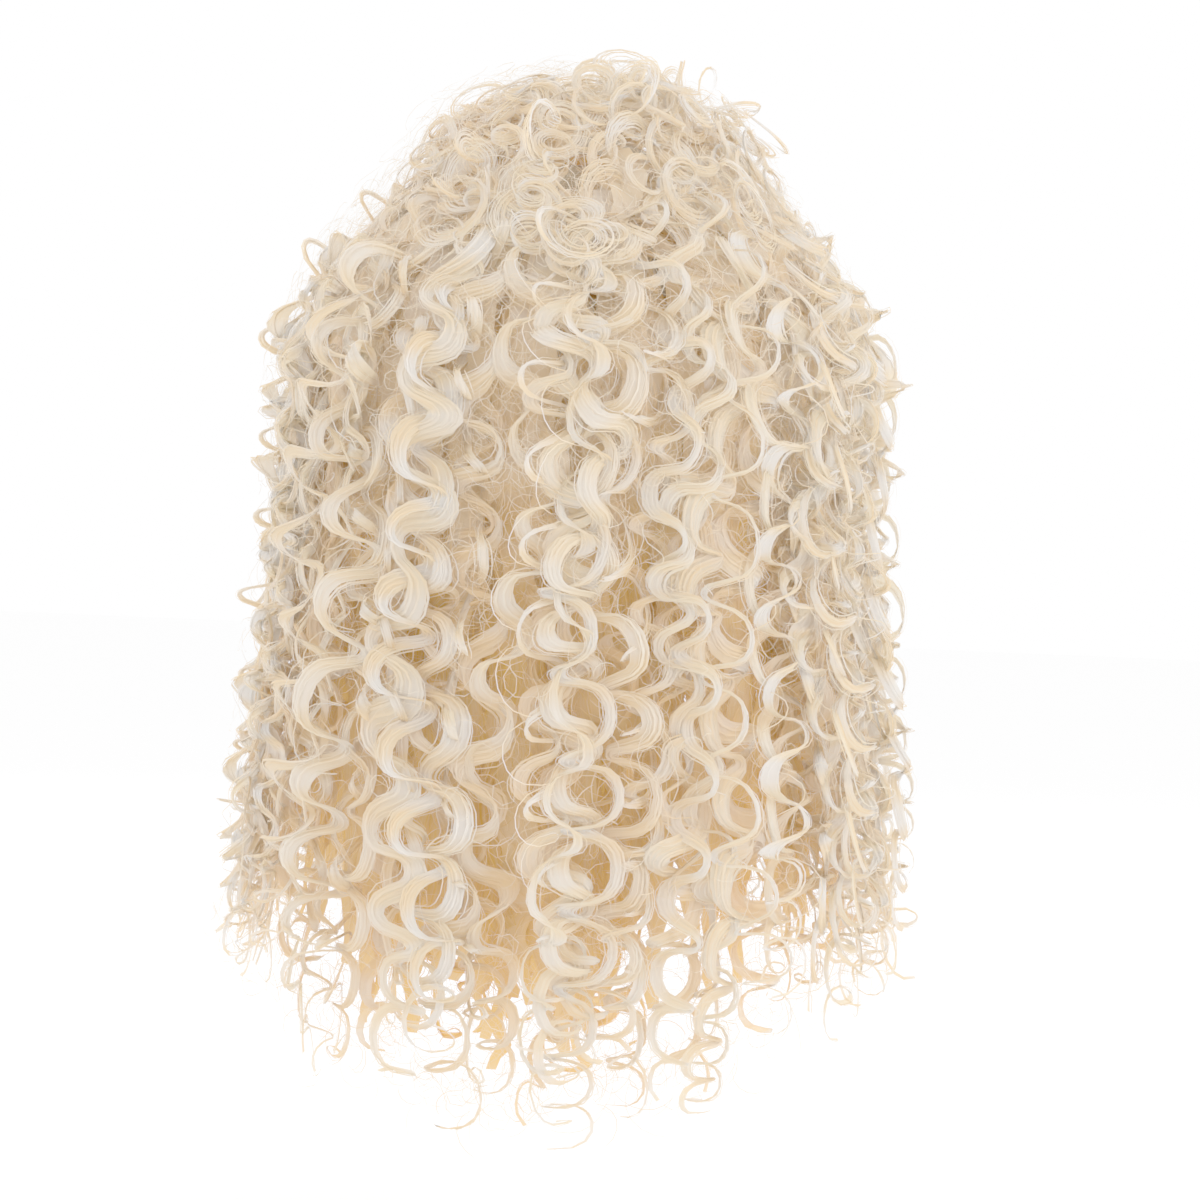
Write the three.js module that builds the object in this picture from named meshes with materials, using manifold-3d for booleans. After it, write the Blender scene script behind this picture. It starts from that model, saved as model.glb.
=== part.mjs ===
// A long curly wig: a hollow cap, and rows of curly locks, each row fused to the weft strip that carries it.
// Millimetres, +Z up. The face looks along -Y and the wearer's left is +X. The origin is where the crown of
// the head touches the inside of the cap.
import * as THREE from "three";
import { mergeVertices } from "three/addons/utils/BufferGeometryUtils.js";
import Module from "manifold-3d";

const { CubicInterpolant, CatmullRomCurve3, MathUtils, Vector3 } = THREE;
const wasm = await Module();
wasm.setup();

// Driving dimensions of the cap and of the strips that the hair is sewn to
const CAP_WALL = 1.6;
const CAP_COLUMNS = 30;
const CAP_ROWS = 6;
const WEFT_GAP = 1.2;
const WEFT_THICKNESS = 2.2;
const WEFT_HEIGHT = 6;
const WEFT_STEP_DEG = 12;
const WEFT_MARGIN_DEG = 4;

// Driving dimensions of a lock
const ROOT_SIZE = 0.8;
const FULL_AFTER = 24;
const FILL = 0.81;
const CURLS_AFTER = 70;
const CURL_DEPTH = 0.6;
const STEPS_PER_TURN = 6;
const PHASE_PER_DEG = 0.03;
const TAPER_FROM = 0.84;
const TIP_SHARE = 0.5;
const TIP_LENGTH = 5;
const GUIDE_POINTS = 24;
const SWEEP_SHARE = 0.35;
const TUCK_FROM = 0.55;
const UNEVEN_TIPS = [-0.14, 0.14, 0];
const SECTION_STEP = 0.02;

// Sections from the top of the head down. Each list holds height, half width, back depth and front depth:
// cap is the outside of the cap and, below it, the room for the neck. Hair is the outline of the whole wig.
const SECTIONS = [
  { at: "apex", cap: [CAP_WALL, 0, 0, 0], hair: [38, 0, 0, 0] },
  { at: "crown", cap: [-13, 40, 50, 49], hair: [24, 66, 68, 60] },
  { at: "upper", cap: [-44, 64, 81, 79], hair: [-14, 97, 110, 94] },
  { at: "temple", cap: [-78, 76, 96, 94], hair: [-62, 133, 149, 114] },
  { at: "equator", cap: [-110, 79, 100, 98], hair: [-108, 150, 170, 120] },
  { at: "ear", cap: [-140, 77, 96, 94], hair: [-148, 151, 173, 118] },
  { at: "nape", cap: [-170, 71, 84, 86], hair: [-188, 152, 173, 114] },
  { at: "neck", cap: [-230, 62, 66, 64], hair: [-244, 160, 171, 110] },
  { at: "shoulder", cap: [-320, 66, 62, 52], hair: [-324, 169, 167, 108] },
  { at: "hem", cap: [-395, 78, 66, 46], hair: [-394, 172, 159, 104] },
  { at: "tips", cap: [-460, 84, 70, 42], hair: [-460, 162, 151, 98] },
];

// Tables by azimuth, alike on both sides: 0 is the middle of the back and 180 the forehead.
// The section number where the cap's edge runs
const CAP_RIM = [
  { azimuth: 0, section: 5.9 },
  { azimuth: 40, section: 5.6 },
  { azimuth: 70, section: 4.3 },
  { azimuth: 88, section: 4.0 },
  { azimuth: 108, section: 4.7 },
  { azimuth: 128, section: 3.0 },
  { azimuth: 150, section: 2.4 },
  { azimuth: 180, section: 2.2 },
];
// The section number where the long locks end
const HEM = [
  { azimuth: 0, section: 9.85 },
  { azimuth: 30, section: 9.6 },
  { azimuth: 60, section: 9.0 },
  { azimuth: 180, section: 8.8 },
];
// The section number where the short curls of the crown end
const CROWN_HEM = [
  { azimuth: 0, section: 2.65 },
  { azimuth: 80, section: 2.5 },
  { azimuth: 120, section: 2.5 },
  { azimuth: 180, section: 2.3 },
];

// A row for each weft. Root is the section that the strip is sewn at, roots and ends are the azimuths of the
// first and last lock at the strip and at the tips. The locks hang at layer, a share of the hair's depth,
// reached within rise sections, and come in by tuck at their tips. Breadth and depth are half sizes of a
// lock, and curl and pitch are those of its waves.
const WEFTS = [
  {
    name: "weft_nape", root: 5.0, roots: [-52, 52], ends: [-50, 50], locks: 7, hem: HEM, shorter: 0.35,
    layer: 0.14, rise: 1.2, tuck: 0, breadth: 10, depth: 6.5, curl: 3, pitch: 180,
  },
  {
    name: "weft_middle", root: 3.1, roots: [-84, 84], ends: [-88, 88], locks: 10, hem: HEM, shorter: 0.25,
    layer: 0.4, rise: 1.7, tuck: 0, breadth: 14, depth: 8, curl: 4, pitch: 180,
  },
  {
    name: "weft_back", root: 1.15, roots: [-57, 57], ends: [-57, 57], locks: 10, hem: HEM, shorter: 0,
    layer: 0.86, rise: 3.1, tuck: 0.02, breadth: 15, depth: 9, curl: 8, pitch: 84,
  },
  {
    name: "weft_left", root: 1.15, roots: [70, 121], ends: [70, 121], locks: 5, hem: HEM, shorter: 0,
    layer: 0.86, rise: 3.1, tuck: 0.02, breadth: 15, depth: 9, curl: 8, pitch: 84,
  },
  {
    name: "weft_right", root: 1.15, roots: [-121, -70], ends: [-121, -70], locks: 5, hem: HEM, shorter: 0,
    layer: 0.86, rise: 3.1, tuck: 0.02, breadth: 15, depth: 9, curl: 8, pitch: 84,
  },
  {
    name: "hairline_left", root: 1.95, roots: [140, 172], ends: [134.5, 150], locks: 3, hem: HEM,
    shorter: 0.2, layer: 0.82, rise: 1.5, tuck: 0, breadth: 9.5, depth: 8, curl: 6, pitch: 84,
  },
  {
    name: "hairline_right", root: 1.95, roots: [-172, -140], ends: [-150, -134.5], locks: 3, hem: HEM,
    shorter: 0.2, layer: 0.82, rise: 1.5, tuck: 0, breadth: 9.5, depth: 8, curl: 6, pitch: 84,
  },
  {
    name: "crown_curls", root: 0.25, roots: [-172, 152], ends: [-172, 152], locks: 10, hem: CROWN_HEM,
    shorter: 0, layer: 0.97, rise: 0.9, tuck: 0.06, breadth: 22, depth: 8.5, curl: 4, pitch: 80,
  },
];

const HAIR = new THREE.MeshStandardMaterial({ color: 0xe3d0b2, roughness: 0.5, metalness: 0 });
const CAP_CLOTH = new THREE.MeshStandardMaterial({ color: 0xcdb48f, roughness: 0.9, metalness: 0 });

// A smooth curve through the sections. The row before the apex mirrors the crown, so that the top is round.
function sectionCurve() {
  const mirrored = ([height, ...sizes]) => [height, ...sizes.map((size) => -size)];
  const [, crown] = SECTIONS;
  const rows = [{ cap: mirrored(crown.cap), hair: mirrored(crown.hair) }, ...SECTIONS];
  const values = rows.flatMap((row) => [...row.cap, ...row.hair]);
  const positions = Float32Array.from(rows, (_, i) => i - 1);
  return new CubicInterpolant(positions, new Float32Array(values), values.length / rows.length);
}
const sections = sectionCurve();

// A section number read from a table of azimuth rows
function byAzimuth(table, azimuth) {
  const at = Math.abs(azimuth);
  const next = Math.max(1, table.findIndex((row) => row.azimuth >= at));
  const [low, high] = [table[next - 1], table[next]];
  const share = MathUtils.smoothstep(at, low.azimuth, high.azimuth);
  return MathUtils.lerp(low.section, high.section, share);
}

// A point between the cap, share 0, and the wig's outline, share 1
function place(section, azimuth, share) {
  const [capZ, capHalf, capBack, capFront, hairZ, hairHalf, hairBack, hairFront] = sections.evaluate(section);
  const angle = MathUtils.degToRad(azimuth);
  const [across, along] = [Math.sin(angle), Math.cos(angle)];
  const inner = new Vector3(capHalf * across, (along > 0 ? capBack : capFront) * along, capZ);
  const outer = new Vector3(hairHalf * across, (along > 0 ? hairBack : hairFront) * along, hairZ);
  return inner.lerp(outer, share);
}

// A point of the cap's outside, moved out along the cap's normal
function capPoint(section, azimuth, offset) {
  if (section === 0) return new Vector3(0, 0, CAP_WALL + offset);
  const point = place(section, azimuth, 0);
  const down = place(section + SECTION_STEP, azimuth, 0).sub(point);
  const round = place(section, azimuth + 1, 0).sub(place(section, azimuth - 1, 0));
  const normal = round.cross(down).normalize();
  return point.addScaledVector(normal, offset);
}

function geometryOf(points, triangles) {
  return new THREE.BufferGeometry().setFromPoints(points).setIndex(triangles.flat());
}

// A closed skin over rings of points, with a fan to a tip at each end
function loft(rings, startTip, endTip) {
  const sides = rings[0].length;
  const points = [...rings.flat(), startTip, endTip];
  const [start, end] = [points.length - 2, points.length - 1];
  const last = (rings.length - 1) * sides;
  const triangles = [];
  for (let side = 0; side < sides; side++) {
    const next = (side + 1) % sides;
    triangles.push([start, next, side], [end, last + side, last + next]);
    for (let low = 0; low < last; low += sides) {
      const high = low + sides;
      triangles.push([low + side, low + next, high + side], [low + next, high + next, high + side]);
    }
  }
  return geometryOf(points, triangles);
}

function toSolid(geometry) {
  const merged = mergeVertices(geometry, 1e-4);
  const vertProperties = new Float32Array(merged.attributes.position.array);
  const triVerts = new Uint32Array(merged.index.array);
  return new wasm.Manifold(new wasm.Mesh({ numProp: 3, vertProperties, triVerts }));
}

function toGeometry(solid) {
  const { vertProperties, triVerts } = solid.getMesh();
  const geometry = new THREE.BufferGeometry();
  geometry.setAttribute("position", new THREE.BufferAttribute(vertProperties, 3));
  geometry.setIndex(new THREE.BufferAttribute(triVerts, 1));
  geometry.computeVertexNormals();
  return geometry;
}

// The cap: an outer and an inner skin from the apex down to the rim, closed along the rim
function capGeometry() {
  const points = [capPoint(0, 0, 0), capPoint(0, 0, -CAP_WALL)];
  const index = (skin, row, column) => 2 + (skin * CAP_ROWS + row) * CAP_COLUMNS + (column % CAP_COLUMNS);
  for (const offset of [0, -CAP_WALL]) {
    for (let row = 1; row <= CAP_ROWS; row++) {
      for (let column = 0; column < CAP_COLUMNS; column++) {
        const azimuth = (360 * column) / CAP_COLUMNS - 180;
        points.push(capPoint((byAzimuth(CAP_RIM, azimuth) * row) / CAP_ROWS, azimuth, offset));
      }
    }
  }
  const triangles = [];
  const quad = (a, b, c, d) => triangles.push([a, b, c], [a, c, d]);
  const rim = CAP_ROWS - 1;
  for (let column = 0; column < CAP_COLUMNS; column++) {
    const next = column + 1;
    triangles.push([0, index(0, 0, next), index(0, 0, column)], [1, index(1, 0, column), index(1, 0, next)]);
    for (let row = 0; row < rim; row++) {
      quad(index(0, row, column), index(0, row, next), index(0, row + 1, next), index(0, row + 1, column));
      quad(index(1, row, next), index(1, row, column), index(1, row + 1, column), index(1, row + 1, next));
    }
    quad(index(0, rim, column), index(0, rim, next), index(1, rim, next), index(1, rim, column));
  }
  return geometryOf(points, triangles);
}

// The strip that a row of locks is sewn to, lying just off the cap
function stripGeometry({ root, roots }) {
  const [from, to] = [roots[0] - WEFT_MARGIN_DEG, roots[1] + WEFT_MARGIN_DEG];
  const sectionLength = place(root + SECTION_STEP, from, 0).distanceTo(place(root, from, 0)) / SECTION_STEP;
  const half = WEFT_HEIGHT / 2 / sectionLength;
  const steps = Math.ceil((to - from) / WEFT_STEP_DEG);
  const [near, far] = [WEFT_GAP, WEFT_GAP + WEFT_THICKNESS];
  const middle = (azimuth) => capPoint(root, azimuth, (near + far) / 2);
  const rings = [];
  for (let step = 0; step <= steps; step++) {
    const azimuth = MathUtils.lerp(from, to, step / steps);
    const corners = [[-half, near], [half, near], [half, far], [-half, far]];
    rings.push(corners.map(([down, offset]) => capPoint(root + down, azimuth, offset)));
  }
  return loft(rings, middle(from), middle(to));
}

// The line that a lock waves about: out from the strip, over, and down to the hem
function lockGuide(weft, azimuthRoot, azimuthEnd, end) {
  const depth = place(weft.root, azimuthRoot, 1).distanceTo(place(weft.root, azimuthRoot, 0));
  const rootShare = (WEFT_GAP + WEFT_THICKNESS / 2) / depth;
  const points = [];
  for (let i = 0; i <= GUIDE_POINTS; i++) {
    const along = i / GUIDE_POINTS;
    const section = MathUtils.lerp(weft.root, end, along);
    const risen = Math.sin((Math.PI / 2) * Math.min(1, (section - weft.root) / weft.rise));
    const azimuth = MathUtils.lerp(azimuthRoot, azimuthEnd, MathUtils.smoothstep(along, 0, SWEEP_SHARE));
    const tucked = weft.tuck * MathUtils.smoothstep(along, TUCK_FROM, 1);
    points.push(place(section, azimuth, MathUtils.lerp(rootShare, weft.layer, risen) - tucked));
  }
  return new CatmullRomCurve3(points);
}

// Unit vectors across a lock and out of it, where it runs along tangent and hangs at azimuth
function lockFrame(tangent, azimuth) {
  const angle = MathUtils.degToRad(azimuth);
  const across = new Vector3(Math.cos(angle), -Math.sin(angle), 0);
  across.addScaledVector(tangent, -across.dot(tangent)).normalize();
  return { across, out: new Vector3().crossVectors(across, tangent) };
}

// A lock: a tapering tube of diamond section that waves about its guide. It is as broad as the distance to
// the guide beside it allows.
function lockGeometry(weft, guide, beside, azimuth) {
  const { breadth, depth, curl, pitch } = weft;
  const length = guide.getLength();
  const steps = Math.ceil((length / pitch) * STEPS_PER_TURN);
  const phase = PHASE_PER_DEG * azimuth;
  const centres = [];
  for (let i = 0; i <= steps; i++) {
    const run = (i / steps) * length;
    const turned = phase + (2 * Math.PI * run) / pitch;
    const reach = curl * MathUtils.smoothstep(run, FULL_AFTER / 2, CURLS_AFTER);
    const { across, out } = lockFrame(guide.getTangentAt(i / steps), azimuth);
    const centre = guide.getPointAt(i / steps).addScaledVector(across, reach * Math.cos(turned));
    centres.push(centre.addScaledVector(out, CURL_DEPTH * reach * Math.sin(turned)));
  }
  const line = new CatmullRomCurve3(centres);
  const rings = centres.map((centre, i) => {
    const { across, out } = lockFrame(line.getTangent(i / steps), azimuth);
    const grown = Math.min(1, ((i / steps) * length) / FULL_AFTER);
    const taper = MathUtils.lerp(1, TIP_SHARE, MathUtils.smoothstep(i / steps, TAPER_FROM, 1));
    const room = FILL * guide.getPointAt(i / steps).distanceTo(beside.getPointAt(i / steps));
    const wide = MathUtils.lerp(ROOT_SIZE, Math.min(breadth, room / 2), grown) * taper;
    const thick = MathUtils.lerp(ROOT_SIZE, depth, grown) * taper;
    const corners = [[wide, 0], [0, -thick], [-wide, 0], [0, thick]];
    return corners.map(([x, y]) => centre.clone().addScaledVector(across, x).addScaledVector(out, y));
  });
  const tip = centres[steps].clone().addScaledVector(line.getTangent(1), TIP_LENGTH);
  return loft(rings, centres[0], tip);
}

// A strip with all its locks, joined into one body
function weftGeometry(weft) {
  const spread = (span, lock) => MathUtils.lerp(...span, lock / (weft.locks - 1));
  const locks = Array.from({ length: weft.locks }, (_, i) => {
    const azimuth = spread(weft.ends, i);
    const end = byAzimuth(weft.hem, azimuth) - weft.shorter + UNEVEN_TIPS[i % UNEVEN_TIPS.length];
    const guideOf = (lock) => lockGuide(weft, spread(weft.roots, lock), spread(weft.ends, lock), end);
    return lockGeometry(weft, guideOf(i), guideOf(i + 1), azimuth);
  });
  const strip = toSolid(stripGeometry(weft));
  return toGeometry(locks.reduce((joined, lock) => joined.add(toSolid(lock)), strip));
}

function addMesh(group, name, geometry, material) {
  const mesh = new THREE.Mesh(geometry, material);
  mesh.name = name;
  group.add(mesh);
}

const wig = new THREE.Group();
addMesh(wig, "cap", toGeometry(toSolid(capGeometry())), CAP_CLOTH);
for (const weft of WEFTS) addMesh(wig, weft.name, weftGeometry(weft), HAIR);

export default wig;
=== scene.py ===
"""The looks of a long curly wig: a cloth cap, and rows of spiral curls built strand by strand.

Metres, +Z up. The face looks along -Y and the wearer's left is +X. The origin is inside the cap's crown.
"""

import math

import bpy
import numpy as np
from mathutils import Matrix, Vector


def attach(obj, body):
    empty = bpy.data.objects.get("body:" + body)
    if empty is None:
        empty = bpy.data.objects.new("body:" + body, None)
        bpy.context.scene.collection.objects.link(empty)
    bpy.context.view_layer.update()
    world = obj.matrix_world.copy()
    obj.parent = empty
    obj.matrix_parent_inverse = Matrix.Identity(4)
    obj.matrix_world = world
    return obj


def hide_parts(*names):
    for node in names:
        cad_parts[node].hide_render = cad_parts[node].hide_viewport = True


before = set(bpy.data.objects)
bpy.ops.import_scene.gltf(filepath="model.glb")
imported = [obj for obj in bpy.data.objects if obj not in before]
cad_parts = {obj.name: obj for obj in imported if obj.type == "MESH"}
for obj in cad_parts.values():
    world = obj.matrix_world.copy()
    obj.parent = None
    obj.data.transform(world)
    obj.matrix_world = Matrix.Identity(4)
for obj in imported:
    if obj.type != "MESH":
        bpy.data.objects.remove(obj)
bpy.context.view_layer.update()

MM = 0.001
TURN = 2 * math.pi
SEED = 613

# Sections from the top of the head down, in millimetres: height, half width, back depth and front depth of
# the cap's outside, with the room for the neck below it, and then of the whole wig's outline
SECTIONS = np.array(
    [
        [1.6, 0, 0, 0, 38, 0, 0, 0],
        [-13, 40, 50, 49, 24, 66, 68, 60],
        [-44, 64, 81, 79, -14, 97, 110, 94],
        [-78, 76, 96, 94, -62, 133, 149, 114],
        [-110, 79, 100, 98, -108, 150, 170, 120],
        [-140, 77, 96, 94, -148, 151, 173, 118],
        [-170, 71, 84, 86, -188, 152, 173, 114],
        [-230, 62, 66, 64, -244, 160, 171, 110],
        [-320, 66, 62, 52, -324, 169, 167, 108],
        [-395, 78, 66, 46, -394, 172, 159, 104],
        [-460, 84, 70, 42, -460, 162, 151, 98],
    ],
    float,
)

# The length of one section on average
SECTION_LENGTH = 45 * MM

# Section numbers by azimuth, alike on both sides: 0 is the middle of the back and 180 the forehead
CAP_RIM = [(0, 5.9), (40, 5.6), (70, 4.3), (88, 4.0), (108, 4.7), (128, 3.0), (150, 2.4), (180, 2.2)]
HEM = [(0, 9.85), (30, 9.6), (60, 9.0), (180, 8.8)]
CROWN_HEM = [(0, 3.7), (80, 3.4), (120, 2.9), (180, 2.35)]

# Steps in sections and in degrees that directions on the head are read over
SMALL_STEP = 0.02
SMALL_TURN = 1

# The cap: its wall, its hem with the shares of the way down where that starts and is full, its faces, and
# the metres of cloth to a radian and to a section
CAP_WALL = 1.6 * MM
HEM_THICKNESS = 0.5 * MM
HEM_STARTS = 0.94
HEM_FULL = 0.97
CAP_COLUMNS = 120
CAP_ROWS = 44
CLOTH_ROUND = 0.09
CLOTH_DOWN = 0.035

# The strip that a row of hair is sewn to: its gap from the cap, its sizes, the way round it, the degrees to
# one face, and its tone, which paints it in the full painted shade of the wig's inside
STRIP_GAP = 1.2 * MM
STRIP_THICKNESS = 2.2 * MM
STRIP_HEIGHT = 6 * MM
STRIP_ROUND = 16 * MM
STRIP_DEGREES = 3
STRIP_TONE = 0.3

# Where the hair of each piece grows from and hangs to: the section of its strip, the range of sections and
# azimuths of its roots, the azimuths of its ends, the hem, the sections that it needs to come out to its
# layer, the most sections that a lock runs for, and how much less full it is on the wearer's left
LONG = dict(hem=HEM, reach=(9, 9), lopsided=0)
AREAS = {
    "weft_nape": dict(LONG, strip=5.0, root=(4.6, 5.3), azimuths=(-54, 54), ends=(-54, 54), rise=1.2),
    "weft_middle": dict(LONG, strip=3.1, root=(2.6, 3.6), azimuths=(-92, 92), ends=(-95, 95), rise=1.7),
    "weft_back": dict(LONG, strip=1.15, root=(1.2, 2.5), azimuths=(-70, 70), ends=(-70, 70), rise=1.8),
    "weft_left": dict(LONG, strip=1.15, root=(1.2, 2.5), azimuths=(57, 135), ends=(57, 137), rise=2.5),
    "weft_right": dict(LONG, strip=1.15, root=(1.2, 2.5), azimuths=(-135, -57), ends=(-137, -57), rise=1.8),
    "hairline_left": dict(
        LONG, strip=1.95, root=(1.95, 2.05), azimuths=(138, 175), ends=(131, 153), rise=1.5
    ),
    "hairline_right": dict(
        LONG, strip=1.95, root=(1.95, 2.05), azimuths=(-175, -138), ends=(-153, -131), rise=1.5
    ),
    "crown_curls": dict(
        strip=0.25, root=(0.05, 2.7), azimuths=(-180, 180), ends=(-180, 180), hem=CROWN_HEM, rise=0.45,
        reach=(0.6, 1.2), lopsided=0.28,
    ),
}

# Kinds of lock, in millimetres and degrees: the share of its depth that it starts at, the band's width and
# how far its edges bend back as a share of that, the curl's radius and pitch, the tilt of its rings, which
# face outwards at 90, and how far that sways, the depth of its waves as a share of their width, how far the
# wave in depth runs ahead of the wave across, how far it is turned to one side, the length before the curls
# start, how far it wanders round the head, the share by which its rings hang straight down and not along the
# head, how far its width follows the bends, how far its strands differ in size and in phase from one edge to
# the other, how far its bends are rounded, and the strands laid over it
STYLES = {
    "lock": dict(
        start=0.07, band=(5, 11), arch=(0.15, 0.35), radius=(7.5, 11), pitch=(32, 42), tilt=(-12, 30), sway=8,
        deep=(0.3, 0.8), skew=(45, 80), twist=35, straight=10, wander=3.4, hang=(0, 0), follow=(0.1, 0.7),
        size=0.22, phase=0.35, round=0.28, bundle="full",
    ),
    "ringlet": dict(
        start=0.07, band=(4, 9), arch=(0.2, 0.4), radius=(7.5, 10.5), pitch=(27, 37), tilt=(-5, 40), sway=8,
        deep=(0.5, 1), skew=(40, 75), twist=60, straight=10, wander=3.4, hang=(0, 0), follow=(0.2, 0.8),
        size=0.22, phase=0.35, round=0.24, bundle="full",
    ),
    "ring": dict(
        start=0.5, band=(3, 7), arch=(0.1, 0.3), radius=(7.5, 11.5), pitch=(17, 28), tilt=(40, 90), sway=14,
        deep=(0.7, 1), skew=(0, 0), twist=28, straight=1, wander=3.5, hang=(0.4, 0.9), follow=(0.4, 1),
        size=0.2, phase=0.6, round=0, bundle="open",
    ),
    "wisp": dict(
        start=0.3, band=(1.8, 5), arch=(0.2, 0.4), radius=(7, 12), pitch=(30, 44), tilt=(-10, 45), sway=8,
        deep=(0.4, 1), skew=(40, 80), twist=60, straight=10, wander=3.0, hang=(0, 0.2), follow=(0, 0.5),
        size=0.25, phase=0.4, round=0.28, bundle="thin",
    ),
    "loop": dict(
        start=0.6, band=(1.5, 4), arch=(0.1, 0.3), radius=(7, 12), pitch=(16, 26), tilt=(40, 90), sway=16,
        deep=(0.8, 1), skew=(0, 0), twist=80, straight=1, wander=3.5, hang=(0.5, 1), follow=(0.3, 0.8),
        size=0.25, phase=0.6, round=0, bundle="airy",
    ),
    "loose": dict(
        start=0.3, band=(3, 7), arch=(0.1, 0.3), radius=(5, 12), pitch=(26, 46), tilt=(-20, 60), sway=8,
        deep=(0.3, 1), skew=(30, 80), twist=80, straight=15, wander=4.0, hang=(0, 0), follow=(0.2, 0.8),
        size=0.2, phase=0.3, round=0.2, bundle="single",
    ),
    "lining": dict(
        start=0.8, band=(18, 26), arch=(0, 0.05), radius=(1, 3), pitch=(38, 52), tilt=(0, 25), sway=8,
        deep=(0.4, 0.8), skew=(0, 0), twist=0, straight=20, wander=1.5, hang=(0, 0), follow=(0.2, 0.6),
        size=0.3, phase=0.3, round=0, bundle="sheet",
    ),
    "under": dict(
        start=0.8, band=(9, 14), arch=(0.1, 0.3), radius=(3, 6), pitch=(24, 36), tilt=(0, 40), sway=12,
        deep=(0.4, 0.8), skew=(0, 0), twist=20, straight=5, wander=3.5, hang=(0, 0), follow=(0.3, 0.9),
        size=0.3, phase=0.4, round=0, bundle="ruffle",
    ),
}

# Strands laid over a lock: the points across, their width in millimetres, how far over the band they are
# spread, how far they lie off it and stray in millimetres, and the share of the lock that they run for
SHEET = dict(width=0, spread=0.8, lift=(0, 0), stray=0, length=(1, 1))
MID = dict(columns=2, width=1.0, spread=0.95, lift=(0.1, 0.8), stray=0.3, length=(0.92, 1))
FINE = dict(columns=2, width=0.42, spread=1.2, lift=(0.1, 1.7), stray=0.9, length=(0.8, 1))
FUZZ = dict(columns=2, width=0.22, spread=1.5, lift=(-1, 4), stray=3, length=(0.12, 0.3))
BUNDLES = {
    "full": [(1, dict(SHEET, columns=4)), (4, MID), (6, FINE), (4, FUZZ)],
    "open": [(6, dict(MID, width=0.8)), (8, FINE), (3, FUZZ)],
    "airy": [(3, dict(MID, width=0.7)), (7, FINE)],
    "thin": [(1, dict(SHEET, columns=3, spread=0.6)), (2, MID), (4, FINE)],
    "sheet": [(1, dict(SHEET, columns=4)), (9, dict(FINE, lift=(-1.7, 1.7), stray=3))],
    "ruffle": [(1, dict(SHEET, columns=3)), (5, dict(FINE, stray=2))],
    "single": [(1, FINE)],
}

# Rows of locks: the piece, the kind, how many, the range of depths that they lie at from the cap at 0 to
# the outline at 1, and how many sections they stop short of the hem
ROWS = [
    ("weft_nape", "lining", 12, (0.14, 0.26), (0.5, 1.5)),
    ("weft_nape", "lock", 12, (0.03, 0.2), (0.0, 0.7)),
    ("weft_middle", "lining", 14, (0.34, 0.46), (0.3, 1.1)),
    ("weft_middle", "lining", 36, (0.58, 0.66), (0.2, 1.0)),
    ("weft_middle", "lock", 14, (0.68, 0.76), (-0.1, 0.5)),
    ("weft_back", "lining", 14, (0.6, 0.67), (1, 5)),
    ("weft_back", "lock", 34, (0.75, 0.93), (-0.25, 0.45)),
    ("weft_back", "wisp", 11, (0.78, 0.98), (-0.25, 0.8)),
    ("weft_back", "loose", 14, (0.7, 0.98), (-0.25, 1.2)),
    ("weft_left", "lining", 14, (0.54, 0.62), (0.2, 0.9)),
    ("weft_left", "ringlet", 23, (0.72, 0.93), (-0.25, 0.45)),
    ("weft_left", "wisp", 8, (0.72, 0.92), (-0.25, 0.8)),
    ("weft_left", "loose", 10, (0.65, 0.92), (-0.25, 1.2)),
    ("weft_right", "lining", 14, (0.54, 0.62), (0.2, 0.9)),
    ("weft_right", "ringlet", 23, (0.72, 0.95), (-0.25, 0.45)),
    ("weft_right", "wisp", 8, (0.74, 0.96), (-0.25, 0.8)),
    ("weft_right", "loose", 10, (0.65, 0.96), (-0.25, 1.2)),
    ("hairline_left", "ringlet", 5, (0.36, 0.54), (0.1, 0.9)),
    ("hairline_left", "ringlet", 9, (0.58, 0.88), (-0.1, 0.5)),
    ("hairline_left", "wisp", 4, (0.7, 0.92), (-0.1, 0.8)),
    ("hairline_right", "ringlet", 5, (0.36, 0.54), (0.1, 0.9)),
    ("hairline_right", "ringlet", 9, (0.58, 0.88), (-0.1, 0.5)),
    ("hairline_right", "wisp", 4, (0.7, 0.92), (-0.1, 0.8)),
    ("crown_curls", "under", 140, (0.4, 0.58), (0.0, 0.4)),
    ("crown_curls", "ring", 188, (0.58, 0.9), (-0.2, 1.0)),
    ("crown_curls", "loop", 30, (0.78, 1.06), (-0.1, 0.7)),
]

# Where a lock lies within its share of a row, and a strand within its share of a lock
JITTER = (0.1, 0.9)

# Samples of a lock's line before it is curled and after, the fewest of these that are kept, and the bend in
# radians and the length that one kept sample may stand for
GUIDE_SAMPLES = 80
FINE_SAMPLES = 700
FEWEST_KEPT = 8
LARGEST_BEND = 0.66
LONGEST_STEP = 24 * MM

# Random waves along a lock: the lengths of a wave's parts as shares of its own, the lengths of the waves by
# which a lock wanders round the head and in depth and its pitch, radius, tilt and width change, and the size
# of the changes in depth, in pitch and radius, and in width
WAVE_PARTS = (0.8, 1.3, 2.3)
WANDER_WAVE = 0.17
DEPTH_WAVE = 0.13
PITCH_WAVE = 0.09
RADIUS_WAVE = 0.07
TILT_WAVE = 0.12
WIDTH_WAVE = 0.06
DEPTH_CHANGE = 0.03
CURL_CHANGE = 0.14
WIDTH_CHANGE = 0.25

# Shares of a lock's length: where it has swept round the head to its place, where its curls start to tighten
# and by how much, where its rings start to tip over and are tipped, and to what degrees
SWEPT = 0.35
TIGHTENS = 0.72
TIGHTER = 0.42
TIPS = 0.78
TIPPED = 0.95
TIPPED_TILT = (10, 75)

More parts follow.
